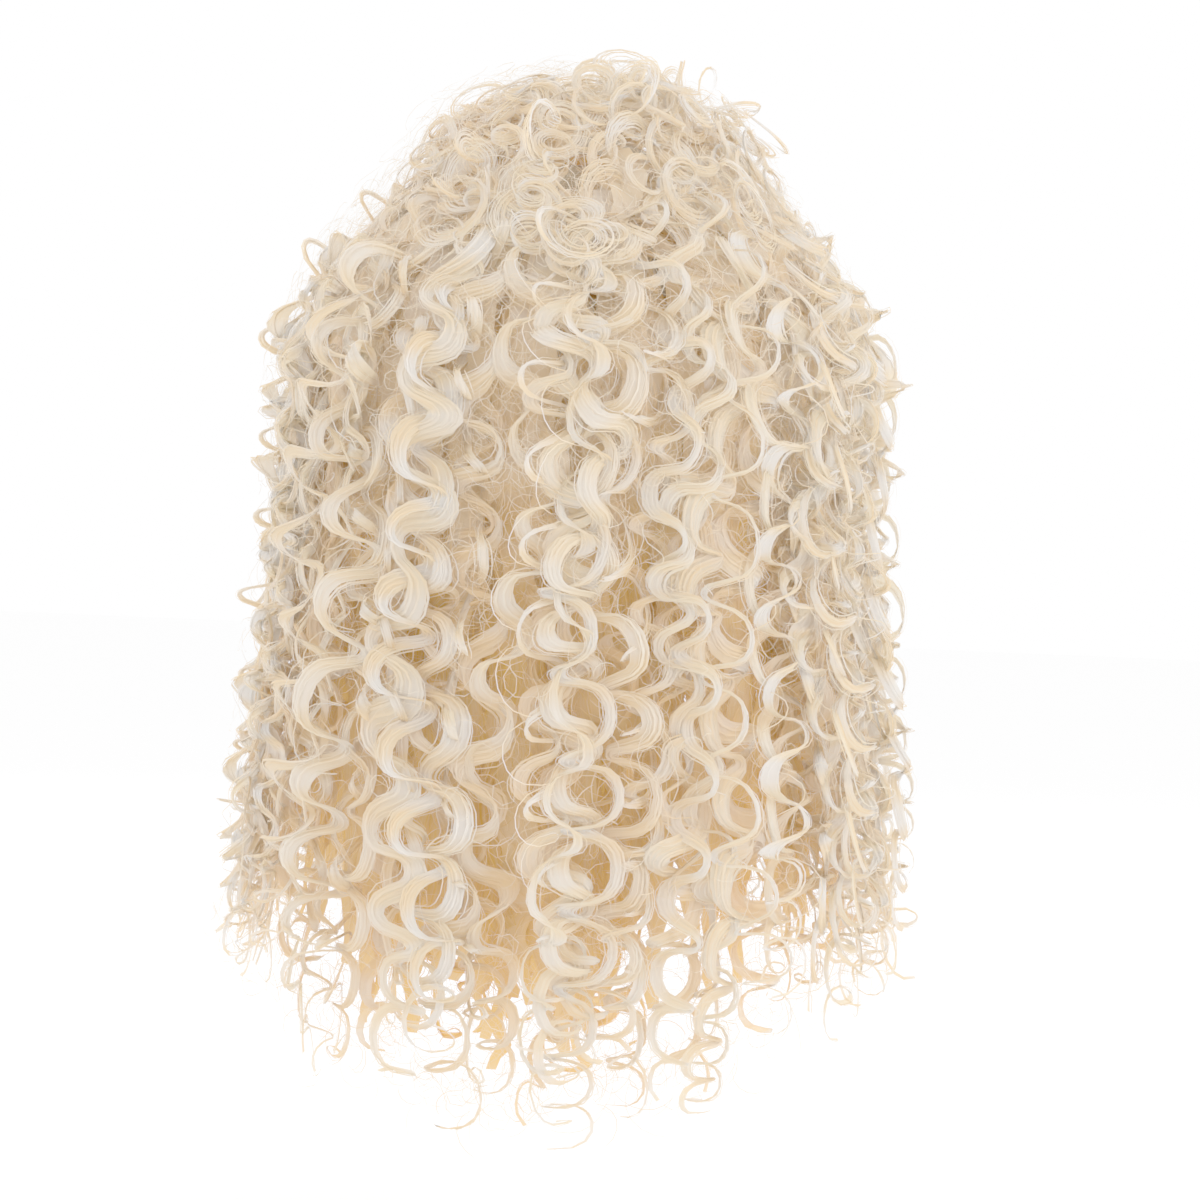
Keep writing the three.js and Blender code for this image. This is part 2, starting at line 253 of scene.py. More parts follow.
# A curl: the share of those that turn to the right, how its start follows the azimuth in radians a degree
# and differs from that, the share of its straight length where it starts and the millimetres after that
# length where it is full, and how far its band faces the way it turns
RIGHT_HANDED = 0.75
START_BY_AZIMUTH = 0.03
START_SPREAD = 0.9
CURL_STARTS = 0.2
CURL_GROWS = 25
FACES_TURN = (0.1, 0.5)

# A band's width at its root and tip as shares of the whole, and the shares of its length where it is full
# and starts to thin
ROOT_WIDTH = 0.35
TIP_WIDTH = 0.3
FULL_WIDTH = 0.12
THINS = 0.8

# Painted glints, pale highlights painted on a lock's bends: how far they move along it in radians, where
# they start and how strong they are, and the depth below the outline over which painted shade deepens
GLINT_MOVES = 0.4
GLINT_STARTS = 0.6
GLINT_SIZE = (0.3, 1)
PAINTED_SHADE_DEPTH = 70 * MM

# Strands: the share of a lock below which one starts anywhere along it, the fewest points along it, how it
# sways over the band and off it, the waves of that, and how far a sheet's edges are ragged
SHORT_STRAND = 0.9
FEWEST_ALONG = 6
STRAND_SWAY = 0.12
SWAY_WAVE = 0.09
LIFT_STRAY = 0.6
LIFT_WAVE = 0.045
STRAY_WAVE = 0.05
RAGGED = 0.2
RAGGED_WAVE = 0.04

# A strand's lean to one side, its range of widths as shares, its width at root and tip, and the shares of
# its length where it is full and starts to thin
STRAND_LEAN = 0.35
STRAND_WIDTHS = (0.7, 1.3)
STRAND_ROOT = 0.5
STRAND_TIP = 0.25
STRAND_FULL = 0.08
STRAND_THINS = 0.88

# Loose single hairs between the locks: the piece, how many, and the range of depths
FRIZZ = [
    ("weft_middle", 4800, (0.62, 0.8)),
    ("weft_back", 2200, (0.7, 0.96)),
    ("weft_left", 1500, (0.62, 0.95)),
    ("weft_right", 1500, (0.62, 0.95)),
    ("crown_curls", 1700, (0.6, 0.92)),
]

# Their points, the share of a piece's rise where they start, their length, their bend in radians a metre, how
# they rise and fall, the lean of their faces, their half width in millimetres, how thin their ends are, and
# the strength of the glint painted on them
FRIZZ_POINTS = 7
FRIZZ_STARTS = 0.4
FRIZZ_LENGTH = (0.015, 0.045)
FRIZZ_BEND = (40, 190)
FRIZZ_RISE = 0.3
FRIZZ_RISE_TURN = 5
FRIZZ_LEAN = 0.5
FRIZZ_HALF_WIDTH = (0.08, 0.17)
FRIZZ_THINS = 0.6
FRIZZ_PAINTED_GLINT = 0.2

# Maps: the least width of a strand in its map, the gap between strands there, how full a strand's place is,
# the room left at the top, and how far apart the patterns of two strands may lie
SHOWN_WIDTH = 0.8 * MM
MAP_GAP = 0.25 * MM
MAP_FILL = 0.995
MAP_ROOM = 1.001
PATTERN_SPREAD = 50

# Hair colours: painted shade inside the wig, pale outside, with their tones, in streaks and in painted glints
PAINTED_SHADE_HAIR = (0.91, 0.41, 0.04, 1)
PALE_HAIR = (0.92, 0.77, 0.51, 1)
FULL_PAINTED_SHADE_TONE = 0.48
NO_PAINTED_SHADE_TONE = 0.84
STREAK_HAIR = (0.88, 0.55, 0.22, 1)
PAINTED_GLINT_HAIR = (0.85, 0.82, 0.78, 1)

# Streaks to a metre across a strand and along it, and the share of light that passes through a strand
STREAKS = (650, 9, 1)
LIGHT_THROUGH = 0.55

# Colours between the cap's threads and on them, and how closely they are woven
CLOTH_SHADE = (0.42, 0.29, 0.16, 1)
CLOTH_THREAD = (0.68, 0.53, 0.34, 1)
WEAVE = 260.0

# The photograph's camera: behind the wig, a little to its right and above its middle
CAMERA_AZIMUTH = 187
CAMERA_ELEVATION = 2.5
CAMERA_DISTANCE = 1.8
CAMERA_ROLL = 2.0
CAMERA_TARGET = Vector((-0.0150, 0, -0.2208))
FRAME_WIDTH = 0.576
SENSOR = 36.0

# Soft lights: name, position, size and power
LIGHTS = [
    ("key", (-1.7, 1.3, 0.8), 0.5, 11),
    ("front", (0.6, -1.8, 0.9), 1.2, 6),
    ("left", (1.9, 0.5, 0.1), 1.0, 5),
    ("right", (-1.9, 0.1, 0.0), 1.0, 5),
]
LIGHTS_TARGET = Vector((0, 0, -0.2))
FLOOR_REACH = 6
FLOOR_LEVEL = -0.56
FLOOR_GRAIN = 900.0

# The photograph has been brightened, which lifts the shade between the locks and leaves white as it is
VIEW_GAMMA = 2.4

# How often light is passed on from strand to strand
LIGHT_BOUNCES = 3


def smoothstep(value, low, high):
    """0 below low, 1 above high and a smooth step between them."""
    share = np.clip((value - low) / (high - low), 0, 1)
    return share * share * (3 - 2 * share)


def lerp(low, high, share):
    """The value at a share of the way from low to high."""
    return low + (high - low) * share


def unit(vectors):
    """The same vectors at length 1."""
    return vectors / np.maximum(np.linalg.norm(vectors, axis=-1, keepdims=True), 1e-12)


def square_to(vectors, axis):
    """Vectors at length 1, turned square to an axis of length 1."""
    return unit(vectors - axis * np.sum(vectors * axis, -1, keepdims=True))


def by_azimuth(table, azimuth):
    """Section numbers read from a table of azimuth rows, with smooth steps between the rows."""
    at = np.abs(np.asarray(azimuth, float))
    result = np.full(at.shape, float(table[0][1]))
    for (low, _), (high, section) in zip(table, table[1:]):
        result = lerp(result, section, smoothstep(at, low, high))
    return result


def section_values(section):
    """A smooth curve through the section table. The row before the apex mirrors the crown."""
    mirrored = SECTIONS[1] * np.where(np.arange(8) % 4 == 0, 1, -1)
    past = 2 * SECTIONS[-1] - SECTIONS[-2]
    rows = np.vstack([mirrored, SECTIONS, past])
    section = np.clip(np.asarray(section, float), 0, len(SECTIONS) - 1e-6)
    base = np.minimum(section.astype(int), len(SECTIONS) - 2)
    step = (section - base)[..., None]
    before, start, end, after = (rows[base + i] for i in range(4))
    cubic = 3 * (start - end) + after - before
    square = 2 * before - 5 * start + 4 * end - after
    return start + 0.5 * step * (end - before + step * (square + step * cubic))


def place(section, azimuth, share):
    """Points between the cap's outside, share 0, and the wig's outline, share 1."""
    values = section_values(section) * MM
    angle = np.radians(azimuth)
    mixed = lerp(values[..., :4], values[..., 4:], np.asarray(share, float)[..., None])
    across, along = np.sin(angle), np.cos(angle)
    depth = np.where(along > 0, mixed[..., 2], mixed[..., 3])
    return np.stack([mixed[..., 1] * across, depth * along, mixed[..., 0]], -1)


def painted_shade_nearness(section, azimuth, share):
    """1 at the wig's outline, and less below it, by parts of the depth over which painted shade deepens."""
    ones = np.ones(np.shape(section))
    thickness = np.linalg.norm(place(section, azimuth, ones) - place(section, azimuth, 0 * ones), axis=-1)
    return 1 - (1 - share) * thickness / PAINTED_SHADE_DEPTH


def cap_point(section, azimuth, offset):
    """Points of the cap's outside, moved out along the cap's normal."""
    section, azimuth = np.broadcast_arrays(np.maximum(section, SMALL_STEP), azimuth)
    zero = np.zeros(section.shape)
    point = place(section, azimuth, zero)
    down = place(section + SMALL_STEP, azimuth, zero) - point
    round_head = place(section, azimuth + SMALL_TURN, zero) - place(section, azimuth - SMALL_TURN, zero)
    normal = unit(np.cross(round_head, down))
    return point + normal * np.asarray(offset, float)[..., None]


def waves(rng, rows, run, length):
    """Smooth random waves of about unit size along run, one row for each strand."""
    total = np.zeros((rows, len(run)))
    for part in WAVE_PARTS:
        phase = rng.uniform(0, TURN, (rows, 1))
        total += np.sin(TURN * run[None, :] / (length * part) + phase)
    return total / math.sqrt(len(WAVE_PARTS))


def wave(rng, run, length):
    """One such wave."""
    return waves(rng, 1, run, length)[0]


def resample(values, positions):
    """Rows of values at fractional row positions."""
    low = np.clip(np.floor(positions).astype(int), 0, len(values) - 2)
    step = (positions - low)[..., None]
    return values[low] * (1 - step) + values[low + 1] * step


def spread_along(run, lengths, vectors):
    """Vectors known at some lengths, read at others."""
    return np.stack([np.interp(run, lengths, vectors[:, i]) for i in range(3)], -1)


def round_head_way(azimuth):
    """The level direction round the head at azimuths in radians."""
    return np.stack([np.cos(azimuth), -np.sin(azimuth), np.zeros(azimuth.shape)], -1)


def even_bends(centre, heading):
    """Positions along a line, closer together where it bends more."""
    turned = np.sum(heading[1:] * heading[:-1], -1)
    bend = np.arccos(np.clip(turned, -1, 1)) / LARGEST_BEND
    step = np.linalg.norm(np.diff(centre, axis=0), axis=1) / LONGEST_STEP
    measure = np.concatenate([[0], np.cumsum(bend + step)])
    samples = max(FEWEST_KEPT, int(math.ceil(measure[-1])))
    return np.interp(np.linspace(0, measure[-1], samples), measure, np.arange(len(centre)))


def lock_guide(rng, area, style, layers, shorter, share):
    """Where a lock runs before it is curled: its root's azimuth, and its sections, azimuths and depths."""
    azimuth_root = lerp(*area["azimuths"], share)
    azimuth_end = lerp(*area["ends"], share) + rng.normal(0, style["wander"])
    root = lerp(*area["root"], rng.uniform())
    end = float(by_azimuth(area["hem"], azimuth_end)) - rng.uniform(*shorter)
    end = min(end, root + rng.uniform(*area["reach"]))
    along = np.linspace(0, 1, GUIDE_SAMPLES)
    section = lerp(root, end, along)
    risen = np.sin(math.pi / 2 * np.clip((section - root) / area["rise"], 0, 1))
    swept = smoothstep(along, 0, SWEPT)
    run = along * abs(end - root) * SECTION_LENGTH
    azimuth = lerp(azimuth_root, azimuth_end, swept)
    azimuth += style["wander"] * swept * wave(rng, run, WANDER_WAVE)
    to_left = max(0, math.sin(math.radians(azimuth_end)))
    layer = rng.uniform(*layers) * (1 - area["lopsided"] * to_left)
    level = layer * lerp(style["start"], 1, risen) + DEPTH_CHANGE * swept * wave(rng, run, DEPTH_WAVE)
    return azimuth_root, section, azimuth, level


def lock_line(rng, area, style, layers, shorter, share):
    """The line of one curl and the directions that its strands are laid out in, by sample along it."""
    azimuth_root, section, azimuth, level = lock_guide(rng, area, style, layers, shorter, share)
    guide = place(section, azimuth, level)
    directions = unit(np.gradient(guide, axis=0))
    lengths = np.concatenate([[0], np.cumsum(np.linalg.norm(np.diff(guide, axis=0), axis=1))])
    run = np.linspace(0, lengths[-1], FINE_SAMPLES)
    ends = run / run[-1]

    pitch = rng.uniform(*style["pitch"]) * MM * (1 + CURL_CHANGE * wave(rng, run, PITCH_WAVE))
    pitch *= 1 - TIGHTER * smoothstep(ends, TIGHTENS, 1)
    turned = np.concatenate([[0], np.cumsum(TURN * np.diff(run) / pitch[1:])])
    hand = 1 if rng.uniform() < RIGHT_HANDED else -1
    angle = (hand * turned + rng.normal(START_BY_AZIMUTH * azimuth_root, START_SPREAD))[:, None]
    ahead = rng.choice([-1, 1]) * math.radians(rng.uniform(*style["skew"]))

    middle = spread_along(run, lengths, guide)
    facing = np.radians(np.interp(run, lengths, azimuth) + style["twist"] * rng.uniform(-1, 1))
    tangent = unit(spread_along(run, lengths, directions))
    across = square_to(round_head_way(facing), tangent)
    out = np.cross(across, tangent)

    radius = rng.uniform(*style["radius"]) * MM * (1 + CURL_CHANGE * wave(rng, run, RADIUS_WAVE))
    straight = style["straight"]
    radius *= smoothstep(run, CURL_STARTS * straight * MM, (straight + CURL_GROWS) * MM)
    tilt = rng.uniform(*style["tilt"]) + style["sway"] * wave(rng, run, TILT_WAVE)
    tipped = np.maximum(tilt, rng.uniform(*TIPPED_TILT))
    tilt = np.radians(lerp(tilt, tipped, smoothstep(ends, TIPS, TIPPED)))[:, None]
    down = square_to(lerp(tangent, np.array([0, 0, -1.0]), rng.uniform(*style["hang"])), across)
    proud_way = np.cross(across, down)
    lean = np.cos(tilt) * proud_way + np.sin(tilt) * down
    bulge = rng.uniform(*style["deep"]) * np.cos(tilt) * proud_way
    dip = np.sin(tilt) * down
    push = (hand * style["round"] * pitch / TURN)[:, None] * tangent
    curled = np.cos(angle) * across + np.sin(angle) * dip + np.sin(angle + ahead) * bulge
    centre = middle + radius[:, None] * curled + np.sin(2 * angle) * push
    heading = unit(np.gradient(centre, axis=0))
    turn = np.cos(angle) * across + np.sin(angle) * lean
    face = square_to(lerp(proud_way, turn, rng.uniform(*FACES_TURN)), heading)
    wide = np.cross(heading, face)

    # Painted shade: how near the outline a point lies, and how far its curl stands out, sets how dark and
    # warm it is painted
    proud = np.sum((centre - middle) * out, -1) / PAINTED_SHADE_DEPTH
    depth = np.interp(run, lengths, painted_shade_nearness(section, azimuth, level)) + proud
    taper = lerp(ROOT_WIDTH, 1, smoothstep(ends, 0, FULL_WIDTH))
    taper *= lerp(1, TIP_WIDTH, smoothstep(ends, THINS, 1))
    taper *= 1 + WIDTH_CHANGE * wave(rng, run, WIDTH_WAVE)
    band = rng.uniform(*style["band"]) * MM * taper
    # Painted highlight: a pale glint painted on the lock's bends
    bends = np.abs(np.cos(angle + rng.normal(0, GLINT_MOVES)))
    glint = smoothstep(bends, GLINT_STARTS, 1) * rng.uniform(*GLINT_SIZE)
    lock = dict(
        run=run[:, None],
        middle=middle,
        across=across,
        dip=dip,
        bulge=bulge,
        push=push,
        angle=angle,
        ahead=np.full((FINE_SAMPLES, 1), ahead),
        radius=radius[:, None],
        face=face,
        side=lerp(across, wide, rng.uniform(*style["follow"])),
        band=band[:, None],
        arch=(rng.uniform(*style["arch"]) * band)[:, None],
        size=(rng.normal(0, style["size"]) * taper)[:, None],
        phase=(rng.normal(0, style["phase"]) * taper)[:, None],
        depth=depth[:, None],
        glint=glint,
    )
    positions = even_bends(centre, heading)
    return {key: resample(value, positions) for key, value in lock.items()}


def on_lock(lock, spot, lift):
    """Points of a lock's band at spots across it, -1 and 1 at its edges, lifted off it by metres."""
    angle = lock["angle"] + lock["phase"] * spot
    size = lock["radius"] * (1 + lock["size"] * spot)
    curled = np.cos(angle) * lock["across"] + np.sin(angle) * lock["dip"]
    curled = curled + np.sin(angle + lock["ahead"]) * lock["bulge"]
    line = lock["middle"] + size * curled + np.sin(2 * angle) * lock["push"]
    back = lift - lock["arch"] * spot**2
    return line + 0.5 * lock["band"] * spot * lock["side"] + back * lock["face"]


def strand_grid(rng, lock, count, columns, width, spread, lift, stray, length):
    """Strands laid over a lock, as a grid of points: strand, sample along, sample across."""
    samples = len(lock["run"])
    kept = rng.uniform(*length, count)
    start = rng.uniform(0, 1 - kept) * (length[1] < SHORT_STRAND)
    number = max(FEWEST_ALONG, int(round(samples * length[1])))
    steps = np.linspace(0, 1, number)
    along = start[:, None] + kept[:, None] * steps[None, :]
    part = {key: resample(value, along * (samples - 1)) for key, value in lock.items()}

    run = lock["run"][-1, 0] * length[1] * steps
    order = 2 * (np.arange(count) + rng.uniform(*JITTER, count)) / count - 1
    spot = (spread * order[:, None] + STRAND_SWAY * waves(rng, count, run, SWAY_WAVE))[..., None]
    level = MM * rng.uniform(*lift, (count, 1, 1))
    level = level + LIFT_STRAY * MM * stray * waves(rng, count, run, LIFT_WAVE)[..., None]
    shift = MM * stray * waves(rng, count, run, STRAY_WAVE)[..., None] * part["side"]
    if columns > 2:
        ragged = spread * (1 + RAGGED * waves(rng, columns, run, RAGGED_WAVE))
        spots = np.linspace(-1, 1, columns)[:, None] * ragged
        points = [on_lock(part, row[None, :, None], level) for row in spots]
    else:
        line = on_lock(part, spot, level) + shift
        heading = unit(np.gradient(line, axis=1))
        leaned = part["face"] + rng.normal(0, STRAND_LEAN, (count, 1, 1)) * part["side"]
        wide = unit(np.cross(heading, leaned))
        taper = lerp(STRAND_ROOT, 1, smoothstep(steps, 0, STRAND_FULL))
        taper = taper * lerp(1, STRAND_TIP, smoothstep(steps, STRAND_THINS, 1))
        half = 0.5 * MM * width * rng.uniform(*STRAND_WIDTHS, (count, 1, 1)) * taper[None, :, None]
        points = [line - half * wide, line + half * wide]
    points = np.stack(points, 2)
    tone = np.ones((count, number, columns, 4))
    tone[..., 0] = rng.uniform(0, 1, (count, 1, 1))
    tone[..., 1] = along[..., None]
    # The blue channel carries the painted shade, darker and warmer towards the inside
    tone[..., 2] = np.clip(part["depth"], 0, 1)
    # The alpha channel carries the painted glint
    tone[..., 3] = part["glint"]
    widths = np.linalg.norm(np.diff(points, axis=2), axis=-1).sum(2).max(1)
    return points, tone, widths, lock["run"][-1, 0] * kept


def frizz_grid(rng, area, count, layers):
    """Loose single hairs that curve about in the layer between the locks, as a grid like strand_grid's."""
    azimuth = rng.uniform(*area["ends"], count)
    first = area["root"][0] + FRIZZ_STARTS * area["rise"]
    section = lerp(first, by_azimuth(area["hem"], azimuth), rng.uniform(0, 1, count))
    level = rng.uniform(*layers, count)
    base = place(section, azimuth, level)
    down = unit(place(section + SMALL_STEP, azimuth, level) - base)
    across = square_to(round_head_way(np.radians(azimuth)), down)
    out = np.cross(across, down)
    length = rng.uniform(*FRIZZ_LENGTH, count)
    steps = np.linspace(0, 1, FRIZZ_POINTS)
    bend = rng.uniform(*FRIZZ_BEND, count) * rng.choice([-1, 1], count) * length
    angle = rng.uniform(0, TURN, (count, 1)) + bend[:, None] * steps
    rise = FRIZZ_RISE * np.sin(rng.uniform(0, TURN, (count, 1)) + FRIZZ_RISE_TURN * steps)
    heading = np.cos(angle)[..., None] * down[:, None] + np.sin(angle)[..., None] * across[:, None]
    heading = heading + rise[..., None] * out[:, None]
    points = base[:, None] + np.cumsum(heading, 1) * (length / FRIZZ_POINTS)[:, None, None]
    face = out[:, None] + rng.normal(0, FRIZZ_LEAN, (count, 1, 3))
    wide = unit(np.cross(heading, face))
    half = MM * rng.uniform(*FRIZZ_HALF_WIDTH, (count, 1)) * (1 - FRIZZ_THINS * np.abs(2 * steps - 1) ** 3)
    grid = np.stack([points - half[..., None] * wide, points + half[..., None] * wide], 2)
    tone = np.ones(grid.shape[:3] + (4,))
    tone[..., 0] = rng.uniform(0, 1, (count, 1, 1))
    # Painted shade, darker and warmer deeper in
    tone[..., 2] = np.clip(painted_shade_nearness(section, azimuth, level), 0, 1)[:, None, None]
    # Painted glint
    tone[..., 3] = FRIZZ_PAINTED_GLINT
    return grid, tone, 2 * half.max(1), length


class HairMesh:
    """Gathers grids of points into one mesh with a map for each strand."""

    def __init__(self):
        self.points, self.quads, self.tones, self.strand_uv = [], [], [], []
        self.sheets = []
        self.total = 0

    def add(self, rng, points, tone, widths, lengths):
        """Adds strands: points has strand, along and across, and widths and lengths are their real sizes."""
        count, number, columns = points.shape[:3]
        index = self.total + np.arange(count * number * columns).reshape(count, number, columns)
        corners = (index[:, :-1, :-1], index[:, :-1, 1:], index[:, 1:, 1:], index[:, 1:, :-1])
        self.quads.append(np.stack(corners, -1).reshape(-1, 4))
        self.points.append(points.reshape(-1, 3))
        self.tones.append(tone.reshape(-1, 4))
        sides = np.linspace(0, 1, columns)[None, None, :]
        steps = np.linspace(0, 1, number)[None, :, None]
        shift = rng.uniform(0, PATTERN_SPREAD, (count, 1, 1))
        real = np.broadcast_arrays(
            shift + sides * widths[:, None, None], shift + steps * lengths[:, None, None]
        )
        self.strand_uv.append(np.stack(real, -1).reshape(-1, 2))
        for row in range(count):
            self.sheets.append((widths[row], lengths[row], number, columns))
        self.total += count * number * columns

    def bake_uv(self):
        """A place of its own in the unit square for each strand, in columns that are filled from below."""
        order = sorted(range(len(self.sheets)), key=lambda i: (-self.sheets[i][1], i))
        tallest = self.sheets[order[0]][1] * MAP_ROOM
        places, column, used, wide = {}, 0.0, 0.0, 0.0
        for i in order:
            width, length = self.sheets[i][:2]
            if used and used + length > tallest:
                column, used, wide = column + wide, 0.0, 0.0
            wide = max(wide, max(width, SHOWN_WIDTH) + MAP_GAP)
            places[i] = (column, used)
            used += length
        across = column + wide
        result = []
        for i, (width, length, number, columns) in enumerate(self.sheets):
            left, low = places[i]
            sides = (left + max(width, SHOWN_WIDTH) * np.linspace(0, 1, columns)) / across
            steps = (low + MAP_FILL * length * np.linspace(0, 1, number)) / tallest
            grid = np.broadcast_arrays(sides[None, :], steps[:, None])
            result.append(np.stack(grid, -1).reshape(-1, 2))
        return np.concatenate(result)

    def make(self, name, material):
        """The finished object."""
        points, quads = np.concatenate(self.points), np.concatenate(self.quads)
        maps = {"Strand": np.concatenate(self.strand_uv), "OFBake": self.bake_uv()}
        return mesh_object(name, points, quads, maps, np.concatenate(self.tones), material)


def mesh_object(name, points, quads, maps, tones, material):
    """An object from arrays of points and four-sided faces, with its maps and its colour attribute."""
    mesh = bpy.data.meshes.new(name)
    mesh.vertices.add(len(points))
    mesh.vertices.foreach_set("co", points.astype(np.float32).ravel())
    mesh.loops.add(quads.size)
    mesh.loops.foreach_set("vertex_index", quads.astype(np.int32).ravel())
    mesh.polygons.add(len(quads))
    mesh.polygons.foreach_set("loop_start", np.arange(0, quads.size, 4, dtype=np.int32))
    mesh.update(calc_edges=True)
    mesh.shade_smooth()
    for map_name, uv in maps.items():
        layer = mesh.uv_layers.new(name=map_name)
        layer.uv.foreach_set("vector", uv[quads.ravel()].astype(np.float32).ravel())
    attribute = mesh.attributes.new("tone", "FLOAT_COLOR", "POINT")
    attribute.data.foreach_set("color", tones.astype(np.float32).ravel())
    mesh.materials.append(material)
    mesh.validate()
    made = bpy.data.objects.new(name, mesh)
    bpy.context.scene.collection.objects.link(made)
    return made


class Nodes:
    """A new material and its nodes."""

    def __init__(self, name):
        self.material = bpy.data.materials.new(name)
        self.material.use_nodes = True
        self.tree = self.material.node_tree
        self.shader = self.tree.nodes["Principled BSDF"]

    def fill(self, node, **inputs):
        """Links or sets inputs of a node, named with _ for a space, or by number as in_0."""
        for key, value in inputs.items():
            kind, _, number = key.partition("_")
            socket = node.inputs[int(number)] if kind == "in" else node.inputs[key.replace("_", " ")]
            if isinstance(value, bpy.types.NodeSocket):
                self.tree.links.new(value, socket)
            else:
                socket.default_value = value

    def add(self, kind, settings=None, **inputs):
        """Adds a node with its settings and inputs."""
        node = self.tree.nodes.new("ShaderNode" + kind)
        for key, value in (settings or {}).items():
            setattr(node, key, value)
        self.fill(node, **inputs)
        return node

    def mix(self, share, first, second):
        """A colour at a share of the way from the first to the second."""
        return self.add("Mix", {"data_type": "RGBA"}, in_0=share, in_6=first, in_7=second).outputs[2]

    def work_out(self, operation, *values):
        """A number worked out from others."""
        inputs = {"in_%d" % i: value for i, value in enumerate(values)}
        return self.add("Math", {"operation": operation}, **inputs).outputs[0]


def hair_material():
    """Pale blonde fibre that lets some light through, with fine streaks and painted glints, warmer as painted
    shade inside.
    """
    nodes = Nodes("hair_fibre")
    tone = nodes.add("Attribute", {"attribute_name": "tone"})
    parts = nodes.add("SeparateColor", in_0=tone.outputs["Color"])
    strand = nodes.add("UVMap", {"uv_map": "Strand"})
    stretched = nodes.add("Mapping", Vector=strand.outputs["UV"], Scale=STREAKS)
    streak = nodes.add("TexNoise", {"noise_dimensions": "2D"}, Vector=stretched.outputs["Vector"], Scale=1.0)
    nodes.fill(streak, Detail=2.5, Roughness=0.65)
    # Painted shade: darker, warmer colour towards the inside, where shade falls between the locks
    depth = nodes.add("MapRange", Value=parts.outputs["Blue"], From_Min=FULL_PAINTED_SHADE_TONE, From_Max=NO_PAINTED_SHADE_TONE)
    colour = nodes.mix(depth.outputs["Result"], PAINTED_SHADE_HAIR, PALE_HAIR)
    uneven = nodes.work_out("MULTIPLY", parts.outputs["Red"], 0.5)
    mixed = nodes.work_out("MULTIPLY_ADD", streak.outputs["Fac"], 0.8, uneven)
    share = nodes.add("MapRange", Value=mixed, From_Min=0.3, From_Max=0.95, To_Max=0.75)
    colour = nodes.mix(share.outputs["Result"], colour, STREAK_HAIR)
    # Painted highlight: pale glints on the bends, only towards the outline, where there is no painted shade
    glint = nodes.work_out("MULTIPLY", tone.outputs["Alpha"], depth.outputs["Result"])
    colour = nodes.mix(glint, colour, PAINTED_GLINT_HAIR)
    rough = nodes.add("MapRange", Value=streak.outputs["Fac"], To_Min=0.2, To_Max=0.36)
    sideways = nodes.add("Tangent", {"direction_type": "UV_MAP", "uv_map": "Strand"})
    nodes.fill(nodes.shader, Base_Color=colour, Roughness=rough.outputs["Result"])
    nodes.fill(nodes.shader, IOR=1.55, Specular_IOR_Level=0.25)
    nodes.fill(nodes.shader, Anisotropic=0.7, Tangent=sideways.outputs["Tangent"])
    through = nodes.add("BsdfTranslucent", Color=colour)
    both = nodes.add(
        "MixShader", Fac=LIGHT_THROUGH, in_1=nodes.shader.outputs["BSDF"], in_2=through.outputs["BSDF"]
    )
    nodes.fill(nodes.tree.nodes["Material Output"], Surface=both.outputs["Shader"])
    return nodes.material


def cap_material():
    """Woven cap cloth: a fine net of threads with some shade between them."""
    nodes = Nodes("cap_weave")
    cloth = nodes.add("UVMap", {"uv_map": "Strand"}).outputs["UV"]
    rows = nodes.add("TexWave", {"bands_direction": "X"}, Vector=cloth, Scale=WEAVE)
    columns = nodes.add("TexWave", {"bands_direction": "Y"}, Vector=cloth, Scale=WEAVE)
    weave = nodes.work_out("MAXIMUM", rows.outputs["Fac"], columns.outputs["Fac"])
    blotch = nodes.add("TexNoise", Vector=cloth, Scale=60.0, Detail=3.0)
    # Painted shade between the threads, with random blotches over it
    thread_shade_and_blotch = nodes.work_out("MULTIPLY_ADD", blotch.outputs["Fac"], 0.4, weave)
    share = nodes.add("MapRange", Value=thread_shade_and_blotch, From_Min=0.3, From_Max=1.3)
    bump = nodes.add("Bump", Height=weave, Strength=0.5, Distance=0.4 * MM)
    nodes.fill(nodes.shader, Base_Color=nodes.mix(share.outputs["Result"], CLOTH_SHADE, CLOTH_THREAD))
    nodes.fill(nodes.shader, Normal=bump.outputs["Normal"], Roughness=0.85)
    return nodes.material


def floor_material():
    """Pale, matt and slightly grained."""
    nodes = Nodes("pale_floor")
    grain = nodes.add("TexNoise", Scale=FLOOR_GRAIN)
    tint = nodes.mix(grain.outputs["Fac"], (0.95, 0.95, 0.95, 1), (0.98, 0.98, 0.98, 1))
    nodes.fill(nodes.shader, Base_Color=tint, Roughness=0.9)
    return nodes.material


def strip_grid(area):
    """The strip that a row of hair is sewn to: a closed band that lies just off the cap."""
    low, high = area["azimuths"]
    azimuth = np.linspace(low, high, 2 + int((high - low) / STRIP_DEGREES))
    section = np.full(azimuth.shape, area["strip"])
    zero = np.zeros(azimuth.shape)
    step = place(section + SMALL_STEP, azimuth, zero) - place(section, azimuth, zero)
    half = 0.5 * STRIP_HEIGHT / (np.linalg.norm(step, axis=-1) / SMALL_STEP)
    corners = [(-1, 0), (1, 0), (1, 1), (-1, 1), (-1, 0)]
    lines = [
        cap_point(section + side * half, azimuth, zero + STRIP_GAP + level * STRIP_THICKNESS)
        for side, level in corners
    ]
    return np.stack(lines, 1)[None]


